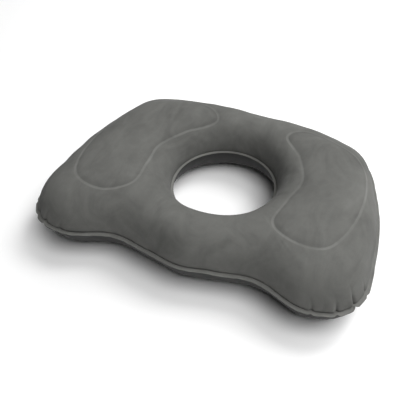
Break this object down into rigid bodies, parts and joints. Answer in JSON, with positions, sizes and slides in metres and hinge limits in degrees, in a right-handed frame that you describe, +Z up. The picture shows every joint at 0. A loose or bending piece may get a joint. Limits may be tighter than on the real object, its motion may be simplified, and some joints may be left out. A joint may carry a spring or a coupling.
{
  "type": "inflatable seat cushion",
  "caption": "Inflatable flocked seat cushion with a round central opening, two thigh lobes, a low front pommel and a push-in air valve.",
  "frame": {"origin": "middle of the footprint, on the plane the cushion rests on", "axes": "+X to the sitter's right, along the width; +Y to the back edge; +Z up, through the thickness"},
  "size_m": [0.4506, 0.302, 0.0992],
  "materials": {
    "flocked_sheet": "short velvet flock on soft grey PVC sheet",
    "base_sheet": "plain soft grey PVC sheet, semi-matte, a little darker than the flocked side",
    "band_sheet": "plain soft PVC film, semi-matte",
    "valve_vinyl": "moulded soft vinyl, satin, slightly translucent",
    "flap_film": "thin clear vinyl film"
  },
  "bodies": {
    "cushion": {"top_panel": "flocked_sheet", "bottom_panel": "base_sheet", "left_tension_band": "band_sheet", "right_tension_band": "band_sheet", "valve_disc": "valve_vinyl", "valve_skirt": "valve_vinyl"},
    "valve_stem": {"valve_stem": "valve_vinyl"},
    "valve_plug": {"valve_plug": "valve_vinyl", "valve_strap": "valve_vinyl"},
    "valve_flap": {"valve_flap": "flap_film"}
  },
  "joints": [
    {"name": "valve_pull_out", "type": "slide", "parent": "cushion", "child": "valve_stem", "axis": [0, 0.8572, -0.515], "range_m": [0, 0.012], "deforming": ["valve_skirt"]},
    {"name": "valve_plug_hinge", "type": "hinge", "parent": "valve_stem", "child": "valve_plug", "pos_m": [-0.009, 0.14063, 0.0216], "axis": [0, 0.515, 0.8572], "range_deg": [0, 160]},
    {"name": "valve_flap_hinge", "type": "hinge", "parent": "valve_stem", "child": "valve_flap", "pos_m": [-0.0046, 0.12456, 0.03126], "axis": [0, -0.515, -0.8572], "range_deg": [0, 60]}
  ]
}
